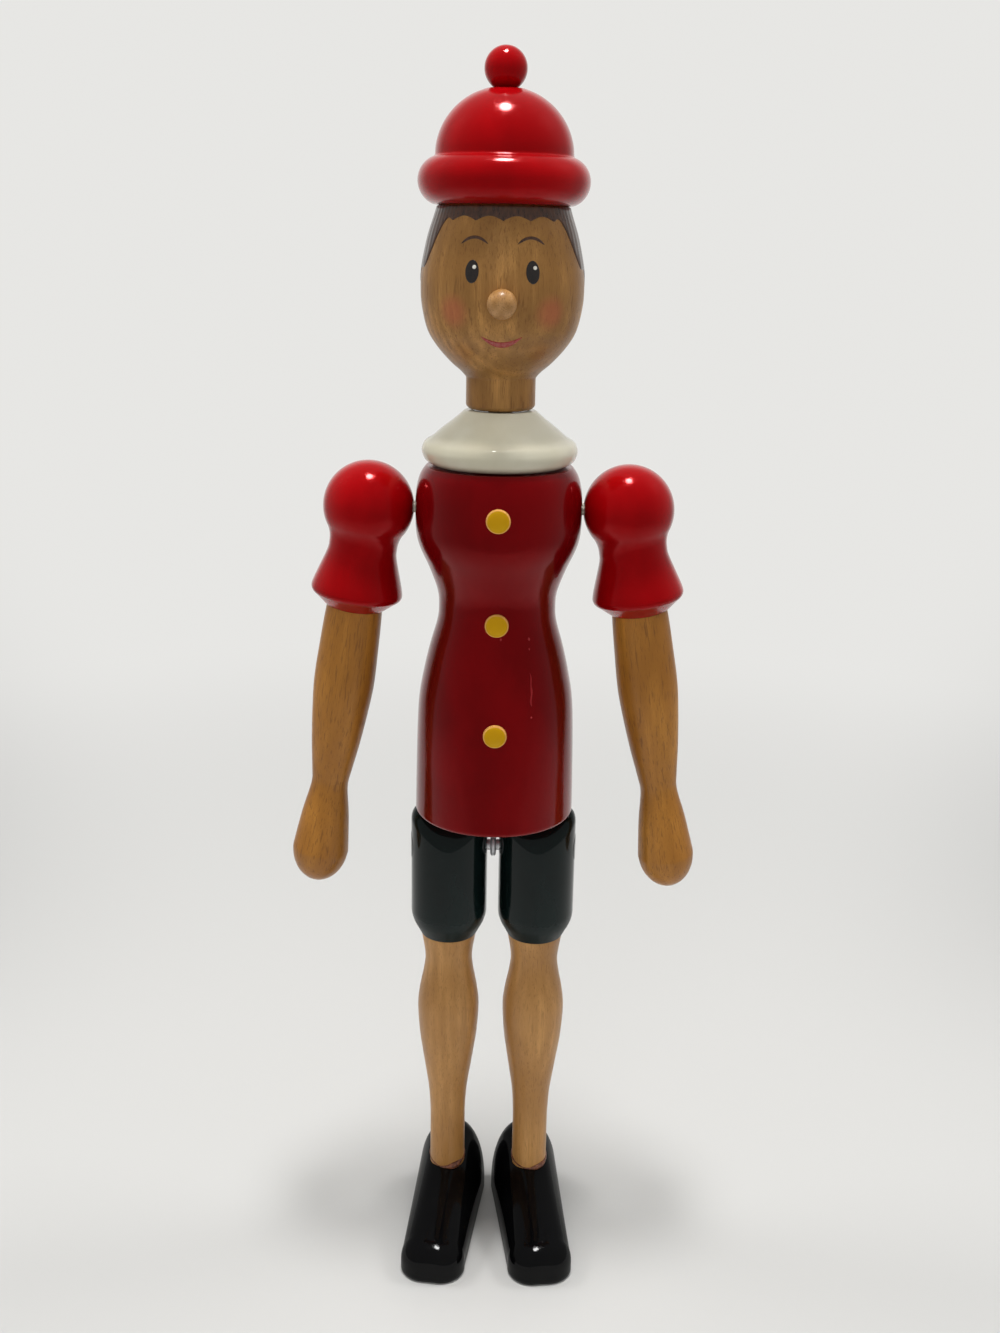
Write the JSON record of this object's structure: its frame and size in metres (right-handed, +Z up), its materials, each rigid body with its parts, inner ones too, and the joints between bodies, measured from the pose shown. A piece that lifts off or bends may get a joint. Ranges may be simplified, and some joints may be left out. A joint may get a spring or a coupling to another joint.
{
  "type": "jointed wooden doll",
  "caption": "Standing turned wooden doll with lacquered clothes and a round bobble cap; its head and collar turn, its arms swing at the shoulders and its legs at the hips.",
  "frame": {"origin": "on the floor, below the centre of the whole doll's box", "axes": "+Z up, the doll faces -Y, its own left side at +X"},
  "size_m": [0.1078, 0.053, 0.315],
  "materials": {
    "red_lacquer": "gloss red lacquer over turned beech",
    "ivory_lacquer": "gloss ivory lacquer over turned beech",
    "dark_lacquer": "gloss green-black lacquer over turned beech",
    "black_lacquer": "gloss black lacquer over shaped beech",
    "yellow_lacquer": "yellow lacquer over turned beech",
    "beech": "turned beech with satin clear varnish",
    "birch": "plain dowel rod",
    "steel": "bright zinc-plated wire and rod",
    "elastic": "braided elastic cord"
  },
  "bodies": {
    "torso": {"torso": "red_lacquer", "button_top": "yellow_lacquer", "button_middle": "yellow_lacquer", "button_bottom": "yellow_lacquer", "shoulder_cord": "elastic", "hip_eye": "steel", "hip_axle": "steel", "hip_retainer_left": "steel", "hip_retainer_right": "steel"},
    "collar": {"collar": "ivory_lacquer"},
    "head": {"head": "beech", "neck_dowel": "birch", "nose": "beech", "cap": "red_lacquer", "cap_dowel": "birch", "cap_bobble": "red_lacquer"},
    "arm_left": {"sleeve_left": "red_lacquer", "forearm_left": "beech"},
    "arm_right": {"sleeve_right": "red_lacquer", "forearm_right": "beech"},
    "leg_left": {"shorts_left": "dark_lacquer", "hip_plug_left": "dark_lacquer", "shin_left": "beech", "shoe_left": "black_lacquer"},
    "leg_right": {"shorts_right": "dark_lacquer", "hip_plug_right": "dark_lacquer", "shin_right": "beech", "shoe_right": "black_lacquer"}
  },
  "joints": [
    {"name": "head_turn", "type": "hinge", "parent": "torso", "child": "head", "pos_m": [0, 0.0056, 0.2327], "axis": [0, 0, 1], "continuous": true},
    {"name": "collar_spin", "type": "hinge", "parent": "torso", "child": "collar", "pos_m": [0, 0.0056, 0.219], "axis": [0, 0, 1], "continuous": true},
    {"name": "shoulder_left", "type": "hinge", "parent": "torso", "child": "arm_left", "pos_m": [0.0326, 0.0056, 0.208], "axis": [-1, 0, 0], "continuous": true},
    {"name": "shoulder_right", "type": "hinge", "parent": "torso", "child": "arm_right", "pos_m": [-0.0326, 0.0056, 0.208], "axis": [-1, 0, 0], "continuous": true},
    {"name": "hip_left", "type": "hinge", "parent": "torso", "child": "leg_left", "pos_m": [0.0118, 0.0056, 0.1162], "axis": [-1, 0, 0], "range_deg": [-90, 90]},
    {"name": "hip_right", "type": "hinge", "parent": "torso", "child": "leg_right", "pos_m": [-0.0118, 0.0056, 0.1162], "axis": [-1, 0, 0], "range_deg": [-90, 90]}
  ]
}
